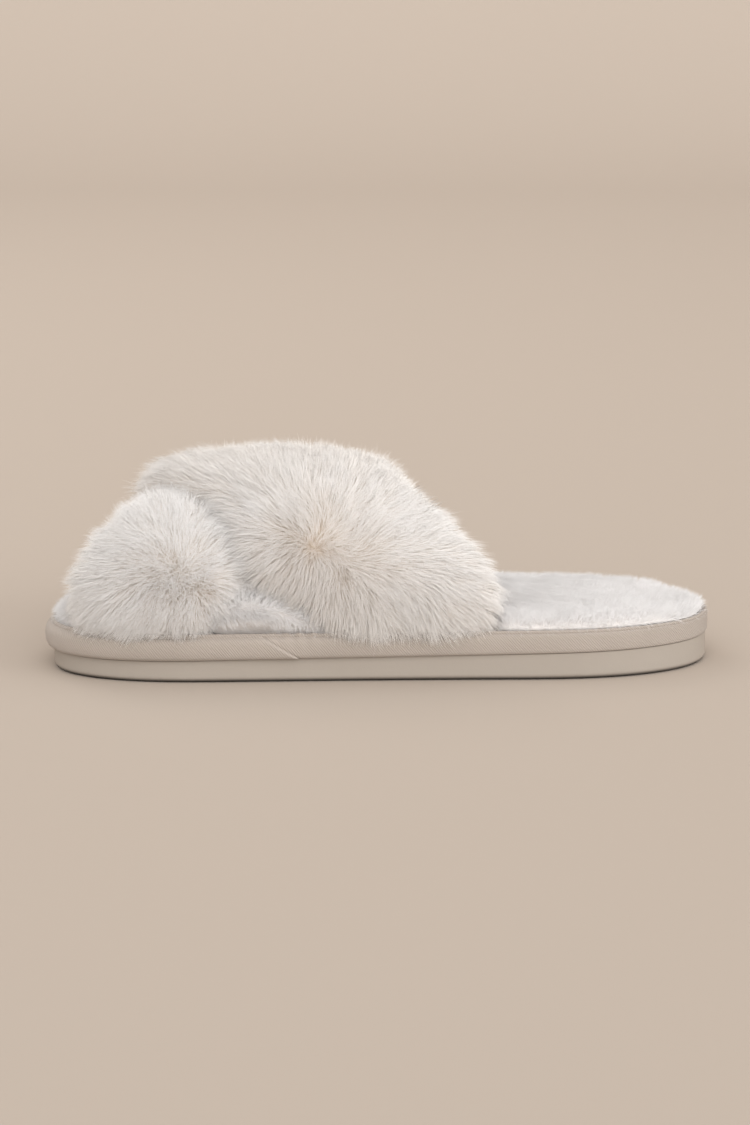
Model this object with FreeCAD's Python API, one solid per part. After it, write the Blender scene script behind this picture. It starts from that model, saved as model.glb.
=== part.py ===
import FreeCAD, Part
import math
import os

# Fluffy house slipper with two crossed faux-fur straps, right foot.
# Frame: millimetres, origin on the ground under the middle of the sole.
# +Z is up, the toe points to -X, the heel to +X, the inner side of the foot is -Y.

V = FreeCAD.Vector

# ---- overall sole ----
SOLE_OUTLINE = [
    (131.0, 0.0),
    (123.0, -22.5),
    (100.0, -38.0),
    (45.0, -45.0),
    (-60.0, -49.0),
    (-104.0, -45.5),
    (-126.0, -30.0),
    (-130.0, -8.0),
    (-117.0, 22.0),
    (-85.0, 42.5),
    (-40.0, 49.0),
    (45.0, 41.5),
    (100.0, 36.0),
    (123.0, 21.5),
]
HALF_LENGTH = 131.0
OUTLINE_SAMPLES = 72
FINE_SAMPLES = 1440

# Heights at mid length, and how much each rises from the middle to the heel tip.
OUTSOLE_THICK = 9.7
OUTSOLE_RISE = 1.7
WRAP_TOP = 18.7
WRAP_TOP_RISE = 0.6

# ---- outsole ----
OUTSOLE_EDGE_ROUND = 2.4
OUTSOLE_INSET = 0.6
TREAD_DEPTH = 1.0
TREAD_WIDTH = 2.0
TREAD_PITCH = 8.0
TREAD_MARGIN = 11.0
FORE_TREAD = (-112.0, -28.0)
HEEL_TREAD = (52.0, 112.0)
TREAD_WAVE = 2.5
TREAD_STEPS = 8

# ---- woven wrap ----
TAPE_THICK = 1.2
TAPE_CLEAR = 0.08
PLATFORM_INSET = 2.5
WRAP_BULGE_TOE = 2.8
WRAP_BULGE_HEEL = 0.2
# Section of the tape, turned in above and below. Each row: offset, share of the bulge,
# share of the height, then tape thicknesses added to the offset and to the height.
WRAP_PROFILE = [
    (-5.0, 0.0, 0.0, 0.0, 0.0),
    (-2.5, 0.0, 0.0, 0.0, 0.0),
    (0.0, 0.0, 0.0, 0.0, 0.0),
    (0.0, 0.55, 0.08, 0.0, 0.0),
    (0.0, 0.95, 0.30, 0.0, 0.0),
    (0.0, 1.00, 0.55, 0.0, 0.0),
    (0.0, 0.80, 0.80, 0.0, 0.0),
    (0.0, 0.35, 0.97, 0.0, 0.0),
    (-0.8, 0.0, 1.0, 0.0, 0.0),
    (-2.8, 0.0, 1.0, 0.0, 0.0),
    (-5.0, 0.0, 1.0, 0.0, 0.0),
    (-5.0, 0.0, 1.0, 0.0, -1.0),
    (-2.8, 0.0, 1.0, 0.0, -1.0),
    (-0.2, 0.30, 1.0, -1.0, -1.1),
    (0.0, 0.80, 0.74, -1.0, 0.0),
    (0.0, 1.00, 0.53, -1.0, 0.0),
    (0.0, 0.90, 0.32, -1.0, 0.0),
    (-0.4, 0.40, 0.0, -1.0, 1.15),
    (-2.5, 0.0, 0.0, 0.0, 1.0),
    (-5.0, 0.0, 0.0, 0.0, 1.0),
]
LAP_LOW_X = -31.0
LAP_TILT = 58.0
LAP_WIDTH = 0.45
LAP_DEPTH = 0.5

# ---- sock ----
BOARD_THICK = 1.2
BOARD_INSET = 6.2
SOCK_GAP = 0.1
PLUSH_TOP = 27.0
PLUSH_THICK = 4.5
PLUSH_RIM = -2.0
PLUSH_UNDER_STRAP = -9.6
PLUSH_EASE = 7.0
FOAM_INSET = 3.6
SOCK_SKIRT = 2.0
# Rolled rim of the sock: how far in from its edge, and the share of its height reached.
SOCK_PROFILE = [
    (0.0, 0.0),
    (0.5, 0.35),
    (2.4, 0.64),
    (6.4, 0.88),
    (13.0, 1.0),
]
# The sock's top falls towards the heel tip: x, and height against the flat top.
HEEL_FALL = [
    (84.0, 1.2),
    (100.0, 0.1),
    (112.0, -1.7),
    (121.0, -4.2),
    (128.0, -7.0),
    (136.0, -11.0),
]

# ---- straps ----
STRAP_BASE = 20.0
ARCH_INSET = 8.0
ARCH_BOX = 0.85
ARCH_TOP = 62.8
ARCH_CREST_X = -32.0
ARCH_DROP = 0.0011
LINING_THICK = 1.2
PADDING_THICK = 2.0
FUR_PILE = 13.5
FUR_PRESSED = 3.5
EDGE_FULLNESS = 5.0
FUR_END_SHARE = 0.45
FUR_END_ANGLE = 26.0
TURN_UNDER = 6.3
THREAD_CHANNEL = 2.1
PADDING_CLEAR = 0.7
LAYER_GAP = 0.25
CROSS_LIFT = 7.4
# Shares of a strap's half width, counted from its middle, where it stops pressing the
# strap below it, and where the strap above starts to come down past its edge.
COVER_START = 1.1
COVER_EASE = 0.3
LIFT_START = 0.82
LIFT_EASE = 1.0
STRAP_ROWS = 37
STRAP_COLS = 23

# Edge stations of each strap: angle round the arch, front edge x, rear edge x.
# The angle is 0 at the inner side of the foot and 180 at the outer side.
UNDER_STATIONS = [
    (0.0, -122.5, -61.0),
    (30.0, -120.0, -45.0),
    (60.0, -107.0, -22.0),
    (90.0, -92.0, -2.0),
    (135.0, -56.0, 20.0),
    (180.0, -29.0, 33.0),
]
OVER_STATIONS = [
    (0.0, -27.0, 51.0),
    (30.0, -57.0, 49.0),
    (60.0, -76.0, 28.0),
    (90.0, -96.0, 5.0),
    (135.0, -101.0, -18.0),
    (180.0, -96.0, -33.0),
]

# ---- thread ----
THREAD_R = 0.35
STITCH_LENGTH = 2.4
STITCH_PITCH = 3.4
SEAM_OFFSET = -0.65
ANCHOR_OFFSET = -4.5
THREAD_LIFT = 0.45
EDGE_THREAD_LIFT = 0.5
EDGE_SEAM_START = 4.0

# Reach of the cutting blocks, well outside the slipper.
FAR = 400.0


# ---------------------------------------------------------------- sole outline
def closed_curve(points):
    curve = Part.BSplineCurve()
    curve.interpolate(Points=points, PeriodicFlag=True)
    return curve


BASE_CURVE = closed_curve([V(x, y, 0.0) for x, y in SOLE_OUTLINE])


def outline_frame(share):
    """Point and outward direction at a share (0 to 1) of the way round the sole."""
    first = BASE_CURVE.FirstParameter
    last = BASE_CURVE.LastParameter
    at = first + (last - first) * (share % 1.0)
    point = BASE_CURVE.value(at)
    along = BASE_CURVE.tangent(at)[0]
    outward = V(along.y, -along.x, 0.0)
    if outward.dot(point) < 0.0:
        outward = outward * -1.0
    return point, outward


OUTLINE = [outline_frame(i / OUTLINE_SAMPLES) for i in range(OUTLINE_SAMPLES)]
FINE_OUTLINE = [outline_frame(i / FINE_SAMPLES)[0] for i in range(FINE_SAMPLES)]


def offset_wire(offset, z):
    """Closed wire at height z; offset is a number or a function of the outline point."""
    points = []
    for point, outward in OUTLINE:
        move = offset(point) if callable(offset) else offset
        moved = point + outward * move
        points.append(V(moved.x, moved.y, z))
    return Part.Wire([closed_curve(points).toShape()])


def side_table(sign):
    """Half widths of the sole on one side, sorted by x."""
    rows = [(p.x, abs(p.y)) for p in FINE_OUTLINE if p.y * sign >= 0.0]
    rows.sort()
    return rows


NEAR_SIDE = side_table(-1.0)
OUTER_SIDE = side_table(1.0)


def half_width(table, x):
    """Half width of the sole at x, read between the two nearest samples."""
    if x <= table[0][0]:
        return table[0][1]
    if x >= table[-1][0]:
        return table[-1][1]
    low = 0
    high = len(table) - 1
    while high - low > 1:
        middle = (low + high) // 2
        if table[middle][0] <= x:
            low = middle
        else:
            high = middle
    x0, w0 = table[low]
    x1, w1 = table[high]
    if x1 - x0 < 1e-9:
        return w0
    return w0 + (w1 - w0) * (x - x0) / (x1 - x0)


# ---------------------------------------------------------------- small helpers
def smooth(t):
    t = min(1.0, max(0.0, t))
    return t * t * (3.0 - 2.0 * t)


def outsole_top(x):
    return OUTSOLE_THICK + OUTSOLE_RISE * x / HALF_LENGTH


def wrap_top(x):
    return WRAP_TOP + WRAP_TOP_RISE * x / HALF_LENGTH


def wedge(low, high):
    """Block between two sloping planes, each given as a function of x."""
    corners = [
        V(-FAR, -FAR, low(-FAR)),
        V(FAR, -FAR, low(FAR)),
        V(FAR, -FAR, high(FAR)),
        V(-FAR, -FAR, high(-FAR)),
    ]
    face = Part.Face(Part.makePolygon(corners + corners[:1]))
    return face.extrude(V(0.0, 2.0 * FAR, 0.0))


def slab(offset, low, high):
    """The sole outline, offset, filled between two sloping planes."""
    prism = Part.Face(offset_wire(offset, -FAR)).extrude(V(0.0, 0.0, 2.0 * FAR))
    return prism.common(wedge(low, high))


def stacked(levels):
    """Solid through outline sections, each level an (offset, height) pair."""
    return Part.makeLoft([offset_wire(o, z) for o, z in levels], True, False)


def periodic_knots(count):
    return [float(i) for i in range(count + 1)], [1] * (count + 1)


def open_knots(count):
    knots = [float(i) for i in range(count - 2)]
    mults = [4] + [1] * (count - 4) + [4]
    return knots, mults


def tube_solid(rows):
    """Solid whose skin follows closed rows of control points; the ends are flat."""
    u_knots, u_mults = open_knots(len(rows))
    v_knots, v_mults = periodic_knots(len(rows[0]))
    surface = Part.BSplineSurface()
    surface.buildFromPolesMultsKnots(rows, u_mults, v_mults, u_knots, v_knots, False, True, 3, 3)
    skin = surface.toShape()
    ends = [e for e in skin.Edges if abs(e.BoundBox.ZLength) < 1e-4]
    caps = [Part.Face(Part.Wire([e])) for e in ends]
    return solid_from([skin] + caps)


def ring_solid(rows):
    """Solid ring whose skin follows closed rows of control points round a closed path."""
    u_knots, u_mults = periodic_knots(len(rows))
    v_knots, v_mults = periodic_knots(len(rows[0]))
    surface = Part.BSplineSurface()
    surface.buildFromPolesMultsKnots(rows, u_mults, v_mults, u_knots, v_knots, True, True, 3, 3)
    return solid_from([surface.toShape()])


def solid_from(faces):
    shell = Part.makeShell(faces)
    if len(faces) > 1:
        shell.sewShape()
    solid = Part.makeSolid(shell)
    if solid.Volume < 0.0:
        solid.reverse()
    return solid


def stitch(start, end):
    """One straight stitch of thread."""
    return Part.makeCylinder(THREAD_R, (end - start).Length, start, end - start)


def save(shape, node):
    shape.exportStep("parts/" + node + ".step")
    box = shape.BoundBox
    size = (round(box.XLength, 1), round(box.YLength, 1), round(box.ZLength, 1))
    print(node, len(shape.Solids), shape.isValid(), size, round(shape.Volume / 1000.0, 2))


# ---------------------------------------------------------------- sole pieces
def wavy_groove(x, y_low, y_high):
    """One shallow tread groove across the sole, waving along x."""
    front = []
    back = []
    for i in range(TREAD_STEPS + 1):
        y = y_low + (y_high - y_low) * i / TREAD_STEPS
        wave = TREAD_WAVE * math.sin(2.0 * math.pi * i / TREAD_STEPS)
        front.append(V(x + wave - TREAD_WIDTH / 2.0, y, -1.0))
        back.append(V(x + wave + TREAD_WIDTH / 2.0, y, -1.0))
    front_curve = Part.BSplineCurve()
    front_curve.interpolate(front)
    back_curve = Part.BSplineCurve()
    back_curve.interpolate(back)
    outline = [
        front_curve.toShape(),
        Part.makeLine(front[-1], back[-1]),
        back_curve.toShape(),
        Part.makeLine(back[0], front[0]),
    ]
    face = Part.Face(Part.Wire(Part.sortEdges(outline)[0]))
    return face.extrude(V(0.0, 0.0, 1.0 + TREAD_DEPTH))


def outsole():
    """Wedge sole with a rounded ground edge and two fields of closed tread grooves."""
    body = slab(-OUTSOLE_INSET, lambda x: 0.0, outsole_top)
    ground = [e for e in body.Edges if e.BoundBox.ZMax < 0.01]
    body = body.makeFillet(OUTSOLE_EDGE_ROUND, ground)
    grooves = []
    for first, last in (FORE_TREAD, HEEL_TREAD):
        x = first
        while x <= last:
            low = TREAD_MARGIN - half_width(NEAR_SIDE, x)
            high = half_width(OUTER_SIDE, x) - TREAD_MARGIN
            grooves.append(wavy_groove(x, low, high))
            x += TREAD_PITCH
    return body.cut(grooves)


def wrap_bulge(x):
    share = (x + HALF_LENGTH) / (2.0 * HALF_LENGTH)
    return WRAP_BULGE_TOE + (WRAP_BULGE_HEEL - WRAP_BULGE_TOE) * share


def wrap_section(x):
    """Closed section of the tape as (offset, height) pairs."""
    low = outsole_top(x) + TAPE_CLEAR
    tall = wrap_top(x) - low
    bulge = wrap_bulge(x)
    section = []
    for offset, bulge_share, height_share, tape_out, tape_up in WRAP_PROFILE:
        out = offset + bulge_share * bulge + tape_out * TAPE_THICK
        up = low + height_share * tall + tape_up * TAPE_THICK
        section.append((out, up))
    return section


def ring_rows(section):
    rows = []
    for point, outward in OUTLINE:
        row = []
        for offset, z in section(point.x):
            moved = point + outward * offset
            row.append(V(moved.x, moved.y, z))
        rows.append(row)
    return rows


def lap_groove():
    """Thin slanting cut on the inner side of the foot where the tape's end is folded over."""
    y = -half_width(NEAR_SIDE, LAP_LOW_X) - wrap_bulge(LAP_LOW_X)
    cut = Part.makeBox(LAP_WIDTH, 2.0 * LAP_DEPTH, 40.0, V(-LAP_WIDTH / 2.0, -LAP_DEPTH, -20.0))
    cut.rotate(V(0.0, 0.0, 0.0), V(0.0, 1.0, 0.0), -LAP_TILT)
    cut.translate(V(LAP_LOW_X, y, outsole_top(LAP_LOW_X)))
    return cut


def platform_wrap():
    return ring_solid(ring_rows(wrap_section)).cut(lap_groove())


def platform_midsole():
    """Foam platform, filling the inside of the tape."""
    clear = TAPE_THICK + LAYER_GAP
    return slab(
        -PLATFORM_INSET,
        lambda x: outsole_top(x) + clear,
        lambda x: wrap_top(x) - clear,
    )


def sock_backing_board():
    return slab(-BOARD_INSET, lambda x: wrap_top(x) - BOARD_THICK, wrap_top)


# ---------------------------------------------------------------- strap stations
def station_value(stations, column, angle):
    """Value of one edge at an angle, through the stations on a smooth curve."""
    count = len(stations)
    index = 0
    while index < count - 2 and angle > stations[index + 1][0]:
        index += 1
    a0 = stations[index][0]
    a1 = stations[index + 1][0]
    t = (angle - a0) / (a1 - a0)

    def slope(i):
        if i == 0 or i == count - 1:
            return 0.0
        rise = stations[i + 1][column] - stations[i - 1][column]
        return rise / (stations[i + 1][0] - stations[i - 1][0])

    y0 = stations[index][column]
    y1 = stations[index + 1][column]
    m0 = slope(index) * (a1 - a0)
    m1 = slope(index + 1) * (a1 - a0)
    return (
        (2 * t ** 3 - 3 * t ** 2 + 1) * y0
        + (t ** 3 - 2 * t ** 2 + t) * m0
        + (-2 * t ** 3 + 3 * t ** 2) * y1
        + (t ** 3 - t ** 2) * m1
    )


def strap_edges(stations, angle):
    return station_value(stations, 1, angle), station_value(stations, 2, angle)


def strap_share(stations, x, angle):
    """Where x lies across a strap: -1 at its front edge, +1 at its rear edge."""
    front, rear = strap_edges(stations, angle)
    return (2.0 * x - front - rear) / (rear - front)


def arch_point(x, angle):
    """Point of the inside surface over the foot."""
    a = math.radians(angle)
    side = math.cos(a)
    table = NEAR_SIDE if side > 0.0 else OUTER_SIDE
    reach = max(4.0, half_width(table, x) - ARCH_INSET)
    y = -math.copysign(abs(side) ** ARCH_BOX, side) * reach
    top = ARCH_TOP - ARCH_DROP * (x - ARCH_CREST_X) ** 2
    z = STRAP_BASE + (top - STRAP_BASE) * math.sin(a)
    return V(x, y, z)


def arch_normal(x, angle):
    """Outward direction of the inside surface; level at the two ends."""
    step = 1.5
    before = max(0.0, angle - 2.0)
    after = min(180.0, angle + 2.0)
    round_arch = arch_point(x, after) - arch_point(x, before)
    along = arch_point(x + step, angle) - arch_point(x - step, angle)
    normal = round_arch.cross(along)
    if angle < 0.01 or angle > 179.99:
        along.z = 0.0
        normal = V(-along.y, along.x, 0.0)
    outward = arch_point(x, angle) - V(x, 0.0, STRAP_BASE)
    if normal.dot(outward) < 0.0:
        normal = normal * -1.0
    normal.normalize()
    return normal


def lifted(x, angle, height):
    return arch_point(x, angle) + arch_normal(x, angle) * height


def covered(stations, x, angle):
    """1 where the strap lies over x, easing to 0 just outside its edges."""
    beyond = abs(strap_share(stations, x, angle)) - COVER_START
    return 1.0 - smooth(beyond / COVER_EASE)


def end_share(angle):
    """The pile is pressed down where a strap is sewn to the sole."""
    from_end = min(angle, 180.0 - angle)
    return FUR_END_SHARE + (1.0 - FUR_END_SHARE) * smooth(from_end / FUR_END_ANGLE)


def under_base(x, angle):
    return 0.0


def over_base(x, angle):
    """The upper strap rides over the lower one."""
    share = abs(strap_share(UNDER_STATIONS, x, angle))
    return CROSS_LIFT * (1.0 - smooth((share - LIFT_START) / LIFT_EASE))


def under_pile(x, angle):
    press = covered(OVER_STATIONS, x, angle)
    return (FUR_PILE + (FUR_PRESSED - FUR_PILE) * press) * end_share(angle)


def over_pile(x, angle):
    return FUR_PILE * end_share(angle)


# ---------------------------------------------------------------- strap layers
def strap_rows(section):
    """Rows of control points; section gives (x, height) pairs at an angle."""
    rows = []
    for i in range(STRAP_ROWS):
        angle = 180.0 * i / (STRAP_ROWS - 1)
        rows.append([lifted(x, angle, h) for x, h in section(angle)])
    return rows


def flat_layer(stations, base, inset, low, high):
    """A flat layer between two heights above the strap's base."""
    def section(angle):
        front, rear = strap_edges(stations, angle)
        xs = []
        for k in range(STRAP_COLS):
            t = 0.5 - 0.5 * math.cos(math.pi * k / (STRAP_COLS - 1))
            xs.append(front + inset + (rear - front - 2.0 * inset) * t)
        upper = [(x, base(x, angle) + high) for x in xs]
        lower = [(x, base(x, angle) + low) for x in reversed(xs)]
        return upper + lower

    return tube_solid(strap_rows(section))


def lining(stations, base):
    return flat_layer(stations, base, TURN_UNDER + THREAD_CHANNEL, 0.0, LINING_THICK)


def padding(stations, base):
    low = LINING_THICK + LAYER_GAP
    return flat_layer(stations, base, TURN_UNDER + PADDING_CLEAR, low, low + PADDING_THICK)


def fur(stations, base, pile):
    """Fur fabric with its pile, turned under at both edges of the strap."""
    over_padding = LINING_THICK + PADDING_THICK + 2.0 * LAYER_GAP

    def section(angle):
        front, rear = strap_edges(stations, angle)
        middle = (front + rear) / 2.0
        half = (rear - front) / 2.0
        outer = []
        for k in range(STRAP_COLS):
            share = -math.cos(math.pi * k / (STRAP_COLS - 1))
            x = middle + half * share
            crown = math.sqrt(max(0.0, 1.0 - abs(share) ** EDGE_FULLNESS))
            total = LINING_THICK + PADDING_THICK + pile(x, angle)
            outer.append((x, base(x, angle) + total * crown))
        inner = []
        for k in range(STRAP_COLS):
            t = 0.5 - 0.5 * math.cos(math.pi * k / (STRAP_COLS - 1))
            x = rear - TURN_UNDER - (rear - front - 2.0 * TURN_UNDER) * t
            inner.append((x, base(x, angle) + over_padding))
        lips = []
        for edge, turn in ((rear, -1.0), (front, 1.0)):
            mid_lip = edge + 0.5 * turn * TURN_UNDER
            end_lip = edge + turn * TURN_UNDER
            lips.append([
                (mid_lip, base(mid_lip, angle)),
                (end_lip, base(end_lip, angle)),
                (end_lip, base(end_lip, angle) + 0.5 * over_padding),
            ])
        return outer + lips[0] + inner + lips[1][::-1]

    return tube_solid(strap_rows(section))


def edge_seam(stations, base, column):
    """Row of stitches in the channel between the lining and the turned-under fur."""
    turn = 1.0 if column == 1 else -1.0
    inset = turn * (TURN_UNDER + 0.5 * THREAD_CHANNEL)
    step = 0.5

    def seam_point(angle):
        x = station_value(stations, column, angle) + inset
        return lifted(x, angle, base(x, angle) + EDGE_THREAD_LIFT)

    stitches = []
    angle = EDGE_SEAM_START
    while angle < 180.0 - EDGE_SEAM_START:
        start = seam_point(angle)
        direction = seam_point(angle + step) - start
        per_degree = direction.Length / step
        direction.normalize()
        stitches.append(stitch(start, start + direction * STITCH_LENGTH))
        angle += STITCH_PITCH / per_degree
    return Part.makeCompound(stitches)


# ---------------------------------------------------------------- seams at the sole
def perimeter_stitches(offset, wanted):
    """Stitches round the sole where wanted(point) is true."""
    stitches = []
    travelled = STITCH_PITCH
    previous = FINE_OUTLINE[0]
    for i in range(len(FINE_OUTLINE)):
        point, outward = outline_frame(i / len(FINE_OUTLINE))
        travelled += (point - previous).Length
        previous = point
        if travelled < STITCH_PITCH or not wanted(point):
            continue
        travelled = 0.0
        start = point + outward * offset
        start.z = wrap_top(start.x) + THREAD_LIFT
        along = V(-outward.y, outward.x, 0.0)
        end = start + along * STITCH_LENGTH
        end.z = wrap_top(end.x) + THREAD_LIFT
        stitches.append(stitch(start, end))
    return Part.makeCompound(stitches)


def strap_end(stations, near):
    """Front and rear x of a strap where it meets the sole."""
    return strap_edges(stations, 0.0 if near else 180.0)


def anchor_stitches(stations, near):
    front, rear = strap_end(stations, near)
    margin = TURN_UNDER

    def wanted(point):
        if (point.y < 0.0) != near:
            return False
        return front + margin < point.x < rear - margin

    return perimeter_stitches(ANCHOR_OFFSET, wanted)


# ---------------------------------------------------------------- sock
def sock_offset(point):
    """The sock's rim reaches the wrap, and steps inside the ends of the straps."""
    near = point.y < 0.0
    tuck = 0.0
    for stations in (UNDER_STATIONS, OVER_STATIONS):
        front, rear = strap_end(stations, near)
        outside = max(front - 1.0 - point.x, point.x - rear - 1.0)
        tuck = max(tuck, 1.0 - smooth(outside / PLUSH_EASE))
    return PLUSH_RIM + (PLUSH_UNDER_STRAP - PLUSH_RIM) * tuck


def sock_level(extra):
    return lambda point: sock_offset(point) + extra


def above_wrap(solid):
    return solid.common(wedge(lambda x: wrap_top(x) + SOCK_GAP, lambda x: FAR))


def under_heel_fall(solid, top):
    """Keeps what lies under a top surface that falls towards the heel tip."""
    fall = Part.BSplineCurve()
    fall.interpolate([V(x, -FAR, top + drop) for x, drop in HEEL_FALL])
    first = V(HEEL_FALL[0][0], -FAR, 0.0)
    last = V(HEEL_FALL[-1][0], -FAR, 0.0)
    high = fall.value(fall.FirstParameter)
    end = fall.value(fall.LastParameter)
    roof = V(-FAR, -FAR, high.z)
    floor = V(-FAR, -FAR, 0.0)
    edges = [
        fall.toShape(),
        Part.makeLine(end, last),
        Part.makeLine(last, first),
        Part.makeLine(first, floor),
        Part.makeLine(floor, roof),
        Part.makeLine(roof, high),
    ]
    face = Part.Face(Part.Wire(edges))
    return solid.common(face.extrude(V(0.0, 2.0 * FAR, 0.0)))


def sock_body(inset, top):
    """Cushion shape with a rolled rim, lower at the heel tip."""
    low = WRAP_TOP - SOCK_SKIRT
    levels = [
        (sock_level(-depth - inset), low + share * (top - low))
        for depth, share in SOCK_PROFILE
    ]
    return above_wrap(under_heel_fall(stacked(levels), top))


def footbed_foam():
    return sock_body(FOAM_INSET, PLUSH_TOP - PLUSH_THICK)


def footbed_plush():
    core = sock_body(FOAM_INSET - LAYER_GAP, PLUSH_TOP - PLUSH_THICK + LAYER_GAP)
    return sock_body(0.0, PLUSH_TOP).cut(core)


# ---------------------------------------------------------------- build
def main():
    os.makedirs("parts", exist_ok=True)
    save(outsole(), "outsole")
    save(platform_midsole(), "platform_midsole")
    save(platform_wrap(), "platform_wrap")
    save(sock_backing_board(), "sock_backing_board")
    save(footbed_foam(), "footbed_foam")
    save(footbed_plush(), "footbed_plush")
    save(perimeter_stitches(SEAM_OFFSET, lambda point: True), "sock_wrap_seam_thread")
    straps = (
        ("under_strap", UNDER_STATIONS, under_base, under_pile),
        ("over_strap", OVER_STATIONS, over_base, over_pile),
    )
    for name, stations, base, pile in straps:
        save(lining(stations, base), name + "_lining")
        save(padding(stations, base), name + "_padding")
        save(fur(stations, base, pile), name + "_fur")
        save(edge_seam(stations, base, 1), name + "_front_seam_thread")
        save(edge_seam(stations, base, 2), name + "_rear_seam_thread")
        save(anchor_stitches(stations, True), name + "_near_anchor_stitches")
        save(anchor_stitches(stations, False), name + "_far_anchor_stitches")


main()
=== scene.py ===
import math

import bmesh
import bpy
import numpy as np
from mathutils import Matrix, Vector
from mathutils.bvhtree import BVHTree


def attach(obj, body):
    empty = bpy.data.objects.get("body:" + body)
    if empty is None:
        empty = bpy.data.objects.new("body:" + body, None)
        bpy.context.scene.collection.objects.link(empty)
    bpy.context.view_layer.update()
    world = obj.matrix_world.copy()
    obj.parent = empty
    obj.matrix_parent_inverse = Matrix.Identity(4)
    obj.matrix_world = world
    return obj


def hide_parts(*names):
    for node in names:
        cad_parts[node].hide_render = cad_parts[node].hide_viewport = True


# Looks of the fluffy house slipper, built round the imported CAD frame.
# The slipper's own sizes are worked out in millimetres and written to meshes in metres.
# -X is the toe, +X the heel, -Y the inner side of the foot, +Z up.

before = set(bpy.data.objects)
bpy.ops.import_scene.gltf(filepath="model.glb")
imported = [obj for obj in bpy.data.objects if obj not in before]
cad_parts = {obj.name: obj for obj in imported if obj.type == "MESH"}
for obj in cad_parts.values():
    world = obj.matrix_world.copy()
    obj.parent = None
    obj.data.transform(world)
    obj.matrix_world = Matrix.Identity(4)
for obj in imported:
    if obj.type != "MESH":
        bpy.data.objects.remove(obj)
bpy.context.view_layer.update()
rng = np.random.default_rng(20417)

MM = 0.001

# ---- sizes shared with the frame ----
OUTSOLE_INSET = 0.6
OUTSOLE_THICK, OUTSOLE_RISE = 9.7, 1.7
WRAP_TOP, WRAP_TOP_RISE = 18.7, 0.6
HALF_LENGTH = 131.0
STRAP_BASE = 20.0
ARCH_INSET, ARCH_BOX = 8.0, 0.85
ARCH_TOP, ARCH_CREST_X, ARCH_DROP = 62.8, -32.0, 0.0011
UNDER_STATIONS = np.array([
    (0.0, -122.5, -61.0),
    (30.0, -120.0, -45.0),
    (60.0, -107.0, -22.0),
    (90.0, -92.0, -2.0),
    (135.0, -56.0, 20.0),
    (180.0, -29.0, 33.0),
])
OVER_STATIONS = np.array([
    (0.0, -27.0, 51.0),
    (30.0, -57.0, 49.0),
    (60.0, -76.0, 28.0),
    (90.0, -96.0, 5.0),
    (135.0, -101.0, -18.0),
    (180.0, -96.0, -33.0),
])
# Lift of the upper strap over the lower one, full up to a share of the lower strap's width.
CROSS_LIFT, LIFT_START, LIFT_EASE = 7.4, 0.82, 1.0
# The lower strap is pressed flat up to a share of the upper strap's width.
COVER_START, COVER_EASE = 0.74, 0.26
# The arch never gets narrower than this to either side.
LEAST_REACH = 4.0


# ------------------------------------------------------------------ helpers
def smooth(t):
    t = np.clip(t, 0.0, 1.0)
    return t * t * (3.0 - 2.0 * t)


def unit(v):
    return v / np.maximum(np.linalg.norm(v, axis=-1, keepdims=True), 1e-9)


def node_points(name):
    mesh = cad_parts[name].data
    co = np.zeros(len(mesh.vertices) * 3, np.float32)
    mesh.vertices.foreach_get("co", co)
    return co.reshape(-1, 3).astype(float) / MM


def hull(points):
    """Convex outline of 2-D points, counter-clockwise."""
    points = sorted(set(map(tuple, np.round(points, 3))))

    def chain(seq):
        out = []
        for p in seq:
            while len(out) > 1:
                (ax, ay), (bx, by) = out[-2], out[-1]
                if (bx - ax) * (p[1] - ay) - (by - ay) * (p[0] - ax) > 0:
                    break
                out.pop()
            out.append(p)
        return out[:-1]

    return np.array(chain(points) + chain(points[::-1]))


SOLE_POINTS, SOLE_SMOOTHINGS = 1440, 6


def even_loop(loop, count):
    """Closed loop resampled at even steps, smoothed a little."""
    closed = np.vstack([loop, loop[:1]])
    steps = np.r_[0.0, np.cumsum(np.linalg.norm(np.diff(closed, axis=0), axis=1))]
    at = np.linspace(0.0, steps[-1], count, endpoint=False)
    out = np.column_stack([np.interp(at, steps, closed[:, i]) for i in range(2)])
    for _ in range(SOLE_SMOOTHINGS):
        out = 0.5 * out + 0.25 * (np.roll(out, 1, 0) + np.roll(out, -1, 0))
    return out


SOLE_HULL = even_loop(hull(node_points("outsole")[:, :2]), SOLE_POINTS)
_tangent = unit(np.roll(SOLE_HULL, -1, 0) - np.roll(SOLE_HULL, 1, 0))
SOLE_OUT = np.column_stack([_tangent[:, 1], -_tangent[:, 0]])
SOLE_LOOP = SOLE_HULL + SOLE_OUT * OUTSOLE_INSET


def side_width(sign):
    rows = SOLE_LOOP[SOLE_LOOP[:, 1] * sign >= 0]
    rows = rows[np.argsort(rows[:, 0])]
    return rows[:, 0], np.abs(rows[:, 1])


NEAR = side_width(-1.0)
OUTER = side_width(1.0)


def wrap_top(x):
    return WRAP_TOP + WRAP_TOP_RISE * x / HALF_LENGTH


def outsole_top(x):
    return OUTSOLE_THICK + OUTSOLE_RISE * x / HALF_LENGTH


def station_value(stations, column, angle):
    """Edge of a strap at an angle, on a smooth curve through its stations."""
    a, y = stations[:, 0], stations[:, column]
    slopes = np.zeros(len(a))
    slopes[1:-1] = (y[2:] - y[:-2]) / (a[2:] - a[:-2])
    i = np.clip(np.searchsorted(a, angle, side="right") - 1, 0, len(a) - 2)
    span = a[i + 1] - a[i]
    t = (angle - a[i]) / span
    return (
        (2 * t ** 3 - 3 * t ** 2 + 1) * y[i]
        + (t ** 3 - 2 * t ** 2 + t) * slopes[i] * span
        + (-2 * t ** 3 + 3 * t ** 2) * y[i + 1]
        + (t ** 3 - t ** 2) * slopes[i + 1] * span
    )


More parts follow.
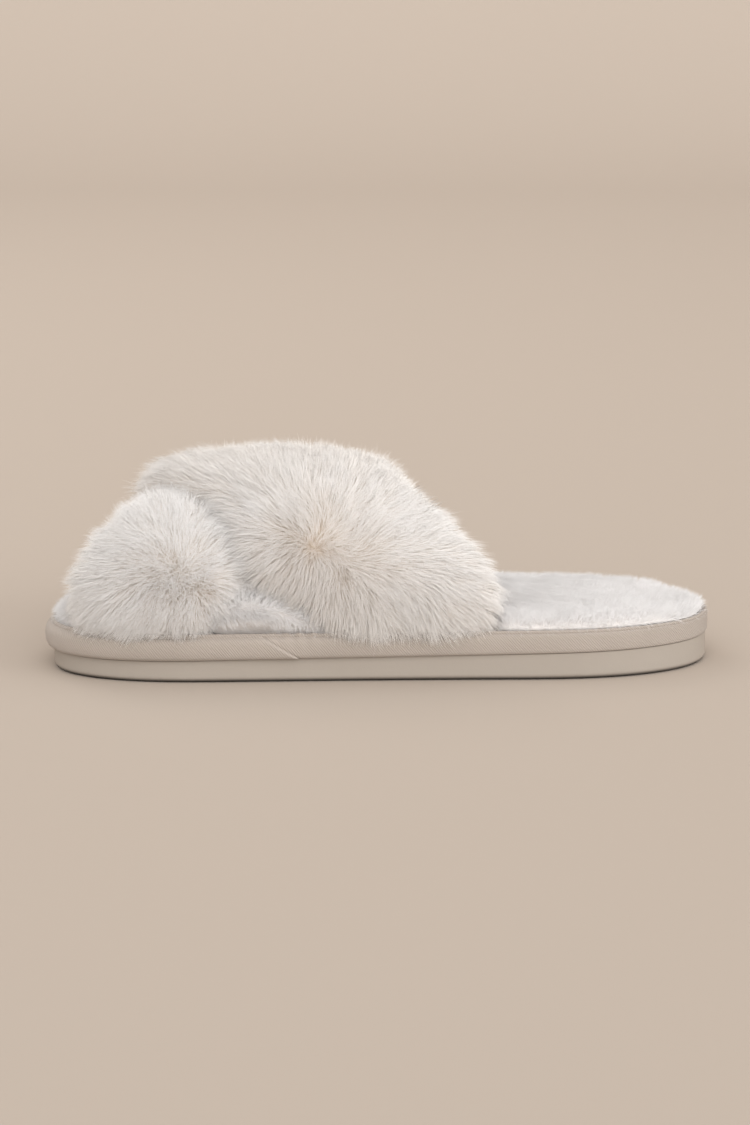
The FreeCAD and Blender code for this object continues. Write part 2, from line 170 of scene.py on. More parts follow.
def share_across(stations, x, angle):
    front = station_value(stations, 1, angle)
    rear = station_value(stations, 2, angle)
    return (2.0 * x - front - rear) / (rear - front)


def arch_point(x, angle):
    a = np.radians(angle)
    side = np.cos(a)
    reach = np.where(side > 0, np.interp(x, *NEAR), np.interp(x, *OUTER)) - ARCH_INSET
    reach = np.maximum(reach, LEAST_REACH)
    y = -np.sign(side) * np.abs(side) ** ARCH_BOX * reach
    top = ARCH_TOP - ARCH_DROP * (x - ARCH_CREST_X) ** 2
    z = STRAP_BASE + (top - STRAP_BASE) * np.sin(a)
    return np.stack([x, y, z], -1)


# Steps between the points a surface direction is worked out from: round the arch and along it.
NORMAL_TURN, NORMAL_STEP = 2.0, 1.5


def arch_normal(x, angle):
    before = np.maximum(angle - NORMAL_TURN, 0.0)
    after = np.minimum(angle + NORMAL_TURN, 180.0)
    round_arch = arch_point(x, after) - arch_point(x, before)
    along = arch_point(x + NORMAL_STEP, angle) - arch_point(x - NORMAL_STEP, angle)
    normal = unit(np.cross(round_arch, along))
    outward = arch_point(x, angle) - np.stack([x, 0 * x, 0 * x + STRAP_BASE], -1)
    flip = np.sign((normal * outward).sum(-1, keepdims=True))
    return normal * np.where(flip == 0, 1, flip)


def lifted(x, angle, height):
    return arch_point(x, angle) + arch_normal(x, angle) * height[..., None]


def over_base(x, angle):
    """How far the upper strap is lifted off the arch by the strap below it."""
    share = np.abs(share_across(UNDER_STATIONS, x, angle))
    return CROSS_LIFT * (1.0 - smooth((share - LIFT_START) / LIFT_EASE))


def under_base(x, angle):
    return np.zeros_like(x)


def pressed(x, angle):
    """1 where the upper strap lies on the lower one, 0 away from it."""
    beyond = np.abs(share_across(OVER_STATIONS, x, angle)) - COVER_START
    return 1.0 - smooth(beyond / COVER_EASE)


# ------------------------------------------------------------------ mesh building
def new_object(name, mesh, mat):
    ob = bpy.data.objects.new(name, mesh)
    bpy.context.scene.collection.objects.link(ob)
    mesh.materials.append(mat)
    return ob


def grid_mesh(name, points, close_u=False, close_v=False, cap=False):
    """Quad mesh over a grid of points in millimetres."""
    rows, cols = points.shape[:2]
    index = np.arange(rows * cols).reshape(rows, cols)
    i0 = index if close_u else index[:-1]
    i1 = np.roll(index, -1, 0) if close_u else index[1:]
    if not close_v:
        quads = np.stack([i0[:, :-1], i0[:, 1:], i1[:, 1:], i1[:, :-1]], -1)
    else:
        quads = np.stack([i0, np.roll(i0, -1, 1), np.roll(i1, -1, 1), i1], -1)
    faces = quads.reshape(-1, 4).tolist()
    if cap:
        faces.append(index[0].tolist())
        faces.append(index[-1][::-1].tolist())
    mesh = bpy.data.meshes.new(name)
    mesh.from_pydata((points.reshape(-1, 3) * MM).tolist(), [], faces)
    mesh.validate()
    bm = bmesh.new()
    bm.from_mesh(mesh)
    bmesh.ops.recalc_face_normals(bm, faces=bm.faces)
    bm.to_mesh(mesh)
    bm.free()
    mesh.polygons.foreach_set("use_smooth", [True] * len(mesh.polygons))
    return mesh


def mesh_arrays(ob):
    """Triangle corners and vertex normals of an object's final mesh, in millimetres."""
    graph = bpy.context.evaluated_depsgraph_get()
    mesh = ob.evaluated_get(graph).to_mesh()
    mesh.calc_loop_triangles()
    co = np.zeros(len(mesh.vertices) * 3, np.float32)
    mesh.vertices.foreach_get("co", co)
    no = np.zeros(len(mesh.vertices) * 3, np.float32)
    mesh.vertices.foreach_get("normal", no)
    tri = np.zeros(len(mesh.loop_triangles) * 3, np.int32)
    mesh.loop_triangles.foreach_get("vertices", tri)
    ob.evaluated_get(graph).to_mesh_clear()
    return co.reshape(-1, 3) / MM, no.reshape(-1, 3), tri.reshape(-1, 3)


def scatter(ob, per_mm2):
    """Random root points and normals over an object's surface."""
    co, no, tri = mesh_arrays(ob)
    a, b, c = co[tri[:, 0]], co[tri[:, 1]], co[tri[:, 2]]
    area = 0.5 * np.linalg.norm(np.cross(b - a, c - a), axis=1)
    count = int(area.sum() * per_mm2)
    pick = rng.choice(len(tri), count, p=area / area.sum())
    r1, r2 = np.sqrt(rng.random(count)), rng.random(count)
    w = np.stack([1 - r1, r1 * (1 - r2), r1 * r2], 1)[..., None]
    points = (co[tri[pick]] * w).sum(1)
    normals = unit((no[tri[pick]] * w).sum(1))
    return points, normals


# The noise repeats after this many cells; the shift keeps cell numbers above zero.
NOISE_CELLS, NOISE_SHIFT = 64, 100.0


def value_noise(points, size, seed):
    """Smooth random values in -1..1 at 3-D points; size is the feature size."""
    cells = NOISE_CELLS
    table = np.random.default_rng(seed).random((cells, cells, cells)) * 2 - 1
    q = points / size + NOISE_SHIFT
    i = np.floor(q).astype(int)
    f = q - i
    f = f * f * (3 - 2 * f)
    out = 0.0
    for dx in (0, 1):
        for dy in (0, 1):
            for dz in (0, 1):
                w = (
                    np.where(dx, f[:, 0], 1 - f[:, 0])
                    * np.where(dy, f[:, 1], 1 - f[:, 1])
                    * np.where(dz, f[:, 2], 1 - f[:, 2])
                )
                at = ((i + (dx, dy, dz)) % cells).T
                out = out + w * table[at[0], at[1], at[2]]
    return out


def noise_vectors(points, size, seed):
    """Smooth random vectors; each part of a vector has its own seed."""
    return np.stack([value_noise(points, size, seed + i) for i in range(3)], 1)


# ------------------------------------------------------------------ strands
# How much of its own roundness a strand's shading keeps, against the surface below it.
ROUND_SHARE = 0.55
# A strand keeps its width most of the way and narrows to this share before its tip.
TAPER_POWER, TAPER_END = 2.2, 0.15
# How far a strand's corners lie apart across the shade strip of its map, and the map's margin.
SHADE_SPREAD, MAP_MARGIN = 0.0015, 0.01


def strand_mesh(name, lines, radius, shade, facing):
    """Closed three-sided tapering strands as one mesh, shaded mostly like the surface they cover.
    lines: (count, rings + 1, 3) points in mm, the last one the tip. shade: 0 to 1 for each.
    facing: the way the surface under each strand faces."""
    count, knots = lines.shape[:2]
    rings = knots - 1
    axis = unit(lines[:, 1] - lines[:, 0])
    helper = np.where(np.abs(axis[:, 2:3]) < 0.9, [[0, 0, 1.0]], [[1.0, 0, 0]])
    side = unit(np.cross(axis, helper))
    up = np.cross(axis, side)
    spin = rng.random(count) * 2 * math.pi
    corners = []
    for k in range(3):
        a = spin + k * 2 * math.pi / 3
        corners.append(side * np.cos(a)[:, None] + up * np.sin(a)[:, None])
    corners = np.stack(corners, 1)
    along = np.linspace(0.0, 1.0, knots)
    taper = (1.0 - along[:-1] ** TAPER_POWER) * (1.0 - TAPER_END) + TAPER_END
    ring_points = (
        lines[:, :-1, None, :]
        + corners[:, None, :, :] * (radius[:, None] * taper[None, :])[:, :, None, None]
    )
    per = rings * 3 + 1
    verts = np.concatenate([ring_points.reshape(count, rings * 3, 3), lines[:, -1:, :]], 1)
    quads = []
    for r in range(rings - 1):
        for k in range(3):
            m = (k + 1) % 3
            quads.append([r * 3 + k, r * 3 + m, (r + 1) * 3 + m, (r + 1) * 3 + k])
    tris = [[(rings - 1) * 3 + k, (rings - 1) * 3 + (k + 1) % 3, rings * 3] for k in range(3)]
    tris.append([2, 1, 0])
    loops_one = np.array([v for f in quads for v in f] + [v for f in tris for v in f])
    sizes_one = np.array([4] * len(quads) + [3] * len(tris))
    loops = (loops_one[None, :] + np.arange(count)[:, None] * per).ravel()
    sizes = np.tile(sizes_one, count)
    starts = np.r_[0, np.cumsum(sizes)[:-1]]
    mesh = bpy.data.meshes.new(name)
    mesh.vertices.add(count * per)
    mesh.vertices.foreach_set("co", (verts.reshape(-1) * MM).astype(np.float32))
    mesh.loops.add(len(loops))
    mesh.loops.foreach_set("vertex_index", loops.astype(np.int32))
    mesh.polygons.add(len(sizes))
    mesh.polygons.foreach_set("loop_start", starts.astype(np.int32))
    mesh.polygons.foreach_set("use_smooth", np.ones(len(sizes), bool))
    mesh.update(calc_edges=True)
    v_one = np.r_[np.repeat(along[:-1], 3), 1.0]
    u_one = np.r_[np.tile([-1.0, 0.0, 1.0], rings), 0.0] * SHADE_SPREAD
    uv = np.empty((count, len(loops_one), 2), np.float32)
    shade = np.clip(shade, MAP_MARGIN, 1.0 - MAP_MARGIN)
    uv[:, :, 0] = shade[:, None] + u_one[loops_one][None, :]
    uv[:, :, 1] = MAP_MARGIN + (1.0 - 2.0 * MAP_MARGIN) * v_one[loops_one][None, :]
    layer = mesh.uv_layers.new(name="OFBake")
    layer.uv.foreach_set("vector", uv.reshape(-1))
    round_it = np.repeat(corners[:, None, :, :], rings, 1).reshape(count, rings * 3, 3)
    tips = unit(lines[:, -1] - lines[:, -2])[:, None, :]
    soft = np.concatenate([round_it, tips], 1) * ROUND_SHARE + facing[:, None, :]
    mesh.normals_split_custom_set_from_vertices(unit(soft).reshape(-1, 3).astype(np.float32))
    return mesh


def strand_lines(root, normal, flow, length, lean_root, lean_tip, droop, knots):
    """Curved strands that start near the normal and lean over along the flow."""
    t = np.linspace(0.0, 1.0, knots)
    step = np.diff(t)
    lines = [root]
    point = root
    for k, dt in enumerate(step):
        middle = 0.5 * (t[k] + t[k + 1])
        lean = lean_root + (lean_tip - lean_root) * middle
        heading = normal * np.cos(lean)[:, None] + flow * np.sin(lean)[:, None]
        heading = heading + np.array([0.0, 0.0, -1.0]) * (droop * middle)[:, None]
        point = point + unit(heading) * (length * dt)[:, None]
        lines.append(point)
    return np.stack(lines, 1)


# How the bend and the pull of a tuft grow from root to tip, and how the bend wanders on the way.
CURL_POWER, CLUMP_POWER, CURL_WANDER = 1.3, 1.6, 0.6
# Tuft borders are bent by noise of this size and strength, against the tuft's size.
TUFT_NOISE_SIZE, TUFT_NOISE = 1.7, 0.8


def curl(lines, size, amount, seed):
    """Bends the strands, neighbours alike, more and more towards their tips."""
    knots = lines.shape[1]
    out = lines.copy()
    for k in range(1, knots):
        bend = noise_vectors(lines[:, 0] + k * size * CURL_WANDER, size, seed)
        out[:, k] += bend * amount * (k / (knots - 1)) ** CURL_POWER
    return out


def clump(lines, size, pull, seed):
    """Draws the strands of each small tuft together towards their tips."""
    root = lines[:, 0]
    jitter = noise_vectors(root, size * TUFT_NOISE_SIZE, seed)
    cell = np.floor((root + jitter * size * TUFT_NOISE) / size).astype(np.int64)
    key = (cell[:, 0] * 73856093) ^ (cell[:, 1] * 19349663) ^ (cell[:, 2] * 83492791)
    _, group = np.unique(key, return_inverse=True)
    group = group.ravel()
    total = np.bincount(group).astype(float)
    out = lines.copy()
    knots = lines.shape[1]
    for k in range(1, knots):
        weight = pull * (k / (knots - 1)) ** CLUMP_POWER
        mean = np.stack([np.bincount(group, lines[:, k, i]) / total for i in range(3)], 1)
        out[:, k] = lines[:, k] + (mean[group] - lines[:, k]) * weight
    return out, group


def strand_pieces(name, lines, radius, shade, facing, mat, replaced, per_piece):
    """Strands split from front to back into pieces of a size the export keeps whole."""
    count = len(lines)
    order = np.argsort(lines[:, 0, 0], kind="stable")
    parts = max(1, math.ceil(count / per_piece))
    for i, part in enumerate(np.array_split(order, parts)):
        piece_name = f"{name}_{i + 1:02d}"
        mesh = strand_mesh(piece_name, lines[part], radius[part], shade[part], facing[part])
        ob = new_object(piece_name, mesh, mat)
        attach(ob, "root")
        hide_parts(replaced)


# ------------------------------------------------------------------ materials
def material(name):
    mat = bpy.data.materials.new(name)
    mat.use_nodes = True
    tree = mat.node_tree
    return mat, tree, tree.nodes["Principled BSDF"]


def fur_material(name, stops, dark, roughness):
    """Colour runs from root to tip (stops), scaled between dark and full by the strand's shade."""
    mat, tree, bsdf = material(name)
    n, link = tree.nodes, tree.links.new
    uv = n.new("ShaderNodeUVMap")
    uv.uv_map = "OFBake"
    split = n.new("ShaderNodeSeparateXYZ")
    ramp = n.new("ShaderNodeValToRGB")
    elements = ramp.color_ramp.elements
    elements[0].position, elements[0].color = stops[0][0], (*stops[0][1], 1)
    elements[1].position, elements[1].color = stops[-1][0], (*stops[-1][1], 1)
    for at, colour in stops[1:-1]:
        e = elements.new(at)
        e.color = (*colour, 1)
    tint = n.new("ShaderNodeMix")
    tint.data_type = "RGBA"
    tint.inputs[6].default_value = (*dark, 1)
    tint.inputs[7].default_value = (1, 1, 1, 1)
    times = n.new("ShaderNodeMix")
    times.data_type = "RGBA"
    times.blend_type = "MULTIPLY"
    times.inputs[0].default_value = 1.0
    link(uv.outputs[0], split.inputs[0])
    link(split.outputs[1], ramp.inputs[0])
    link(split.outputs[0], tint.inputs[0])
    link(ramp.outputs[0], times.inputs[6])
    link(tint.outputs[2], times.inputs[7])
    link(times.outputs[2], bsdf.inputs["Base Color"])
    bsdf.inputs["Roughness"].default_value = roughness
    bsdf.inputs["Specular IOR Level"].default_value = 0.25
    bsdf.inputs["Sheen Weight"].default_value = 0.25
    bsdf.inputs["Sheen Roughness"].default_value = 0.5
    return mat


def noise_node(tree, scale, detail, coords, rough=0.55):
    node = tree.nodes.new("ShaderNodeTexNoise")
    node.inputs["Scale"].default_value = scale
    node.inputs["Detail"].default_value = detail
    node.inputs["Roughness"].default_value = rough
    tree.links.new(coords, node.inputs["Vector"])
    return node


def colour_between(tree, factor, dark, light):
    mix = tree.nodes.new("ShaderNodeMix")
    mix.data_type = "RGBA"
    mix.inputs[6].default_value = (*dark, 1)
    mix.inputs[7].default_value = (*light, 1)
    tree.links.new(factor, mix.inputs[0])
    return mix.outputs[2]


def bump(tree, height, strength, distance, previous=None):
    node = tree.nodes.new("ShaderNodeBump")
    node.inputs["Strength"].default_value = strength
    node.inputs["Distance"].default_value = distance
    tree.links.new(height, node.inputs["Height"])
    if previous:
        tree.links.new(previous, node.inputs["Normal"])
    return node.outputs[0]


def math_node(tree, operation, a, b=None, c=None):
    node = tree.nodes.new("ShaderNodeMath")
    node.operation = operation
    for i, value in enumerate((a, b, c)):
        if value is None:
            continue
        if isinstance(value, (int, float)):
            node.inputs[i].default_value = value
        else:
            tree.links.new(value, node.inputs[i])
    return node.outputs[0]


# Painted contact shadow: the sole's colour turns from near black at the ground to its own skin
# colour over this height, in metres.
CONTACT_SHADOW_HEIGHT = 0.0013
CONTACT_SHADOW_COLOUR = (0.045, 0.04, 0.035, 1)


def moulded_material(name, dark, light):
    """Satin moulded foam rubber with a faint skin grain, and a painted contact shadow where it
    meets the ground.
    """
    mat, tree, bsdf = material(name)
    coords = tree.nodes.new("ShaderNodeTexCoord").outputs["Object"]
    clouds = noise_node(tree, 28.0, 4.0, coords)
    skin = colour_between(tree, clouds.outputs[0], dark, light)
    split = tree.nodes.new("ShaderNodeSeparateXYZ")
    tree.links.new(coords, split.inputs[0])
    # Painted contact shadow: near black at the ground, fading into the skin colour above.
    rise = math_node(tree, "MULTIPLY_ADD", split.outputs[2], 1.0 / CONTACT_SHADOW_HEIGHT, -0.5)
    out_of_shadow = tree.nodes.new("ShaderNodeClamp")
    tree.links.new(rise, out_of_shadow.inputs[0])
    contact_shadowed = tree.nodes.new("ShaderNodeMix")
    contact_shadowed.data_type = "RGBA"
    contact_shadowed.inputs[6].default_value = CONTACT_SHADOW_COLOUR
    tree.links.new(out_of_shadow.outputs[0], contact_shadowed.inputs[0])
    tree.links.new(skin, contact_shadowed.inputs[7])
    tree.links.new(contact_shadowed.outputs[2], bsdf.inputs["Base Color"])
    grain = noise_node(tree, 2600.0, 3.0, coords)
    pits = noise_node(tree, 700.0, 2.0, coords)
    low = bump(tree, pits.outputs[0], 0.10, 0.0004)
    tree.links.new(bump(tree, grain.outputs[0], 0.14, 0.00012, low), bsdf.inputs["Normal"])
    rough = math_node(tree, "MULTIPLY_ADD", clouds.outputs[0], 0.16, 0.46)
    tree.links.new(rough, bsdf.inputs["Roughness"])
    bsdf.inputs["Specular IOR Level"].default_value = 0.35
    return mat


def cloth_material(name, dark, light, scale):
    """Brushed fabric: soft mottling and a fine fuzzy bump."""
    mat, tree, bsdf = material(name)
    coords = tree.nodes.new("ShaderNodeTexCoord").outputs["Object"]
    clouds = noise_node(tree, scale * 0.06, 4.0, coords)
    fuzz = noise_node(tree, scale, 4.0, coords, 0.7)
    mixed = math_node(tree, "MULTIPLY_ADD", fuzz.outputs[0], 0.45, 0.0)
    mixed = math_node(tree, "MULTIPLY_ADD", clouds.outputs[0], 0.55, mixed)
    tree.links.new(colour_between(tree, mixed, dark, light), bsdf.inputs["Base Color"])
    tree.links.new(bump(tree, fuzz.outputs[0], 0.6, 0.0006), bsdf.inputs["Normal"])
    bsdf.inputs["Roughness"].default_value = 0.9
    bsdf.inputs["Sheen Weight"].default_value = 0.3
    bsdf.inputs["Specular IOR Level"].default_value = 0.2
    return mat


TWILL_PITCH, YARN_PITCH = 1.05, 0.8
TWILL_STEEPNESS = 0.8


def wave(tree, value, pitch):
    return math_node(tree, "SINE", math_node(tree, "MULTIPLY", value, 2 * math.pi / pitch))


def twill_material(name, dark, light):
    """Woven tape: fine yarns on a steep diagonal, from the weave coordinates in millimetres."""
    mat, tree, bsdf = material(name)
    uv = tree.nodes.new("ShaderNodeUVMap")
    uv.uv_map = "weave"
    split = tree.nodes.new("ShaderNodeSeparateXYZ")
    tree.links.new(uv.outputs[0], split.inputs[0])
    u, v = split.outputs[0], split.outputs[1]
    wobble = noise_node(tree, 0.35, 2.0, uv.outputs[0])
    shift = math_node(tree, "MULTIPLY", wobble.outputs[0], 0.5)
    diagonal = math_node(tree, "MULTIPLY_ADD", v, TWILL_STEEPNESS, math_node(tree, "ADD", u, shift))
    rib = wave(tree, diagonal, TWILL_PITCH)
    weft = wave(tree, v, YARN_PITCH)
    warp = wave(tree, u, YARN_PITCH)
    cells = math_node(tree, "MULTIPLY", weft, warp)
    height = math_node(tree, "MULTIPLY_ADD", cells, 0.20, math_node(tree, "MULTIPLY", rib, 0.30))
    height = math_node(tree, "ADD", height, 0.5)
    coords = tree.nodes.new("ShaderNodeTexCoord").outputs["Object"]
    clouds = noise_node(tree, 35.0, 4.0, coords)
    fibres = noise_node(tree, 1500.0, 3.0, coords)
    cloudy = math_node(tree, "MULTIPLY", clouds.outputs[0], 0.42)
    tone = math_node(tree, "MULTIPLY_ADD", height, 0.62, cloudy)
    tree.links.new(colour_between(tree, tone, dark, light), bsdf.inputs["Base Color"])
    low = bump(tree, height, 0.8, 0.0003)
    tree.links.new(bump(tree, fibres.outputs[0], 0.3, 0.0001, low), bsdf.inputs["Normal"])
    bsdf.inputs["Roughness"].default_value = 0.82
    bsdf.inputs["Sheen Weight"].default_value = 0.15
    bsdf.inputs["Specular IOR Level"].default_value = 0.25
    return mat


# Linear colours from root (0) to tip (1).
FUR_STOPS = [
    (0.0, (0.79, 0.67, 0.55)),
    (0.30, (0.885, 0.825, 0.765)),
    (0.62, (0.92, 0.90, 0.88)),
    (1.0, (0.935, 0.922, 0.912)),
]
PLUSH_STOPS = [
    (0.0, (0.89, 0.865, 0.85)),
    (0.5, (0.935, 0.92, 0.912)),
    (1.0, (0.95, 0.938, 0.932)),
]
long_fur = fur_material("long_fur", FUR_STOPS, (0.86, 0.785, 0.705), 0.62)
short_plush = fur_material("short_plush", PLUSH_STOPS, (0.93, 0.905, 0.90), 0.7)
fur_backing = cloth_material("fur_backing", (0.70, 0.60, 0.49), (0.80, 0.71, 0.61), 1500.0)
plush_backing = cloth_material("plush_backing", (0.86, 0.82, 0.79), (0.92, 0.89, 0.87), 1500.0)
lining_fleece = cloth_material("lining_fleece", (0.78, 0.73, 0.68), (0.90, 0.87, 0.83), 900.0)
hidden_foam = cloth_material("hidden_foam", (0.70, 0.66, 0.60), (0.82, 0.79, 0.74), 1200.0)
thread_spun = cloth_material("thread_spun", (0.52, 0.47, 0.42), (0.64, 0.59, 0.54), 3000.0)
woven_tape = twill_material("woven_tape", (0.315, 0.274, 0.236), (0.52, 0.458, 0.41))
moulded_sole = moulded_material("moulded_sole", (0.36, 0.318, 0.275), (0.40, 0.357, 0.312))


# ------------------------------------------------------------------ padded strap bodies
# How far in from the strap's front and rear edges the padded body ends, at angles round the arch.
PAD_ANGLES = (0.0, 30.0, 60.0, 90.0, 135.0, 180.0)
UNDER_PAD = ((7.0, 6.0, 5.0, 5.0, 6.0, 7.0), (6.5, 4.0, 0.0, 8.0, 13.0, 10.0))
OVER_PAD = ((7.0, 9.0, 14.0, 6.0, 8.0, 8.0), (7.5, 10.5, 6.5, 0.5, 6.0, 8.0))
# Height of the pad's edge over its base, and of its crown where it is free and where it is pressed.
PAD_LOW, PAD_CROWN, PAD_PRESSED = 0.9, 7.2, 2.6
PAD_FLAT_POWER, PAD_THIN_LIP = 3.2, 0.6
# The crown is this share of its full height at the sole, and full from this angle on.
PAD_END_SHARE, PAD_END_ANGLE = 0.72, 24.0
PAD_ROWS, PAD_COLS = 72, 26


def strap_span(stations, angle, insets, more=0.0):
    """Front and rear x of a layer of a strap at an angle round the arch."""
    front_inset, rear_inset = (float(np.interp(angle, PAD_ANGLES, row)) for row in insets)
    front = float(station_value(stations, 1, angle)) + front_inset + more
    rear = float(station_value(stations, 2, angle)) - rear_inset - more
    return front, rear


def strap_body(name, stations, base, squeeze, insets):
    """Closed padded body of a strap, under its fur."""
    angles = np.linspace(0.0, 180.0, PAD_ROWS)
    rows = []
    for angle in angles:
        from_end = min(angle, 180.0 - angle)
        front, rear = strap_span(stations, angle, insets)
        share = -np.cos(np.linspace(0.0, math.pi, PAD_COLS))
        x = (front + rear) / 2 + share * (rear - front) / 2
        a = np.full_like(x, angle)
        ends = PAD_END_SHARE + (1.0 - PAD_END_SHARE) * float(smooth(from_end / PAD_END_ANGLE))
        press = squeeze(x, a)
        crown = PAD_CROWN * (1 - press) + PAD_PRESSED * press
        round_top = np.sqrt(np.maximum(0.0, 1 - np.abs(share) ** PAD_FLAT_POWER))
        upper = PAD_LOW + crown * ends * round_top
        top = lifted(x, a, base(x, a) + upper)
        low_x, low_a = x[1:-1][::-1], a[1:-1]
        bottom = lifted(low_x, low_a, base(low_x, low_a) + PAD_LOW - PAD_THIN_LIP)
        rows.append(np.vstack([top, bottom]))
    mesh = grid_mesh(name, np.array(rows), close_v=True, cap=True)
    return new_object(name, mesh, fur_backing)


CLOTH_FRAMES = 20
# Points this little above the sole stay where the strap is sewn down.
HELD_HEIGHT = 2.5


def puff(ob, voxel, pressure, cap):
    """Remesh and inflate a padded body with Blender's cloth, keeping each point near its start."""
    mod = ob.modifiers.new("even", "REMESH")
    mod.mode = "VOXEL"
    mod.voxel_size = voxel * MM
    mod.use_smooth_shade = True
    apply_modifiers(ob)
    mesh = ob.data
    start = np.zeros(len(mesh.vertices) * 3, np.float32)
    mesh.vertices.foreach_get("co", start)
    start = start.reshape(-1, 3)
    group = ob.vertex_groups.new(name="held")
    held = np.nonzero(start[:, 2] < (STRAP_BASE + HELD_HEIGHT) * MM)[0]
    group.add(held.tolist(), 1.0, "REPLACE")
    cloth = ob.modifiers.new("cloth", "CLOTH")
    s = cloth.settings
    s.quality = 6
    s.mass = 0.3
    s.tension_stiffness = 12
    s.compression_stiffness = 12
    s.bending_stiffness = 0.4
    s.use_pressure = True
    s.uniform_pressure_force = pressure
    s.vertex_group_mass = "held"
    s.effector_weights.gravity = 0.0
    scene = bpy.context.scene
    for f in range(1, CLOTH_FRAMES + 1):
        scene.frame_set(f)
    graph = bpy.context.evaluated_depsgraph_get()
    posed = ob.evaluated_get(graph).to_mesh()
    moved = np.zeros(len(posed.vertices) * 3, np.float32)
    posed.vertices.foreach_get("co", moved)
    ob.evaluated_get(graph).to_mesh_clear()
    ob.modifiers.remove(cloth)
    scene.frame_set(1)
    step = moved.reshape(-1, 3) - start
    size = np.linalg.norm(step, axis=1, keepdims=True)
    step *= np.minimum(1.0, cap * MM / np.maximum(size, 1e-9))
    mesh.vertices.foreach_set("co", (start + step).ravel())
    mesh.update()
    mod = ob.modifiers.new("fine", "SUBSURF")
    mod.levels = mod.render_levels = 1
    apply_modifiers(ob)
    ob.data.polygons.foreach_set("use_smooth", [True] * len(ob.data.polygons))


def apply_modifiers(ob):
    graph = bpy.context.evaluated_depsgraph_get()
    mesh = bpy.data.meshes.new_from_object(ob.evaluated_get(graph))
    ob.modifiers.clear()
    old = ob.data
    ob.data = mesh
    bpy.data.meshes.remove(old)


def unpressed(x, angle):
    return np.zeros_like(x)


under_body = strap_body("under_strap_body", UNDER_STATIONS, under_base, pressed, UNDER_PAD)
over_body = strap_body("over_strap_body", OVER_STATIONS, over_base, unpressed, OVER_PAD)
for body in (under_body, over_body):
    puff(body, voxel=4.0, pressure=4.0, cap=1.6)


# ------------------------------------------------------------------ long fur
# The pile parts along a short line on the inner side of each strap.
OVER_PARTING = np.array([(-19.5, -50.0, 55.5), (-16.5, -50.0, 53.5)])
UNDER_PARTING = np.array([(-82.0, -50.0, 46.0), (-73.0, -50.0, 33.0)])
WHORL_REACH = 18.0
# The parting's influence is blurred by soft noise and by chance, in millimetres.
BLUR_SIZE, BLUR_SOFT, BLUR_RANDOM = 9.0, 5.0, 2.0
SWIRL_SIZE, FINE_SIZE = 16.0, 4.5
# From this y on, and fully after this depth, the pile is combed down and outwards.
OUTER_FIRST, OUTER_DEPTH = -5.0, 35.0
COMBED = (0.0, 0.5, -1.0)


def fur_flow(points, normals, parting):
    """Combing direction: out of the parting, bending down the sides, with soft swirls."""
    start, line = parting[0], parting[1] - parting[0]
    share = np.clip(((points - start) * line).sum(1) / (line * line).sum(), 0.0, 1.0)
    away = points - start - share[:, None] * line
    far = np.linalg.norm(away, axis=1)
    away = away + noise_vectors(points, BLUR_SIZE, 21) * BLUR_SOFT
    away = away + rng.normal(0.0, BLUR_RANDOM, points.shape)
    radial = away - (away * normals).sum(1, keepdims=True) * normals
    radial = unit(radial)
    down = np.array([0.0, 0.0, -1.0]) - normals * (-normals[:, 2:3])
    side = 1.0 - smooth((normals[:, 2] - 0.1) / 0.7)
    swirl = noise_vectors(points, SWIRL_SIZE, 31)
    fine = noise_vectors(points, FINE_SIZE, 51)
    near_whorl = (1.0 - smooth(far / WHORL_REACH))[:, None]
    flow = radial * (1.0 - 0.75 * near_whorl) + down * (0.30 * side)[:, None]
    outer_side = smooth((points[:, 1] - OUTER_FIRST) / OUTER_DEPTH)[:, None]
    combed = np.array(COMBED) * np.ones_like(points)
    combed = combed - (combed * normals).sum(1, keepdims=True) * normals
    flow = flow * (1.0 - outer_side) + combed * outer_side
    flow = flow + swirl * (0.34 + 0.3 * near_whorl) + fine * (0.42 + 0.2 * near_whorl)
    flow = flow + rng.normal(0.0, 0.16, points.shape) * (1.0 + 3.0 * near_whorl)
    flow = flow - (flow * normals).sum(1, keepdims=True) * normals
    return unit(flow), far


HAIR_RADIUS = 0.072
OVER_DENSITY, UNDER_DENSITY = 6.4, 8.0
# Lightest tone, painted lighter on the lower strap as painted light for the light it lacks, and the
# depths of two painted shades: at the parting, where the fur opens onto its deeper root-coloured
# layers, and low down.
OVER_TONE_LIGHT_AND_SHADE, UNDER_TONE_LIGHT_AND_SHADE = (0.80, 0.34, 0.22), (0.96, 0.06, 0.14)
# How far up the painted low shade reaches; the crest gets a painted shade of its depth from a
# height on.
LOW_SHADE_REACH, CREST_SHADE_FROM, CREST_SHADE_REACH, CREST_SHADE_DEPTH = 46.0, 34.0, 24.0, 0.22
# Long fur grows this far off the inside of the arch and over the sole, and not where another
# strap lies over it within this distance.
FUR_OFF_INSIDE, FUR_OFF_SOLE, COVERED_WITHIN = 1.6, 0.6, 4.5
# Length at the parting and what it gains away from it.
FUR_LENGTH, FUR_LENGTH_GAIN, FUR_GAIN_REACH = 10.0, 4.0, 32.0
# It is shorter in its first millimetres over the sole, and on the outer side at the rear.
SOLE_REACH, SOLE_SHARE, REAR_CUT = 16.0, 0.85, 0.42
# Lean from the surface's normal in degrees, at the parting: root and tip, and their scatter.
ROOT_LEAN, TIP_LEAN, ROOT_SCATTER, TIP_SCATTER = 14.0, 38.0, 11, 12
# Reach of the painted shade round the parting.
PARTING_SHADE_REACH = 30.0
FUR_PER_PIECE = 12400


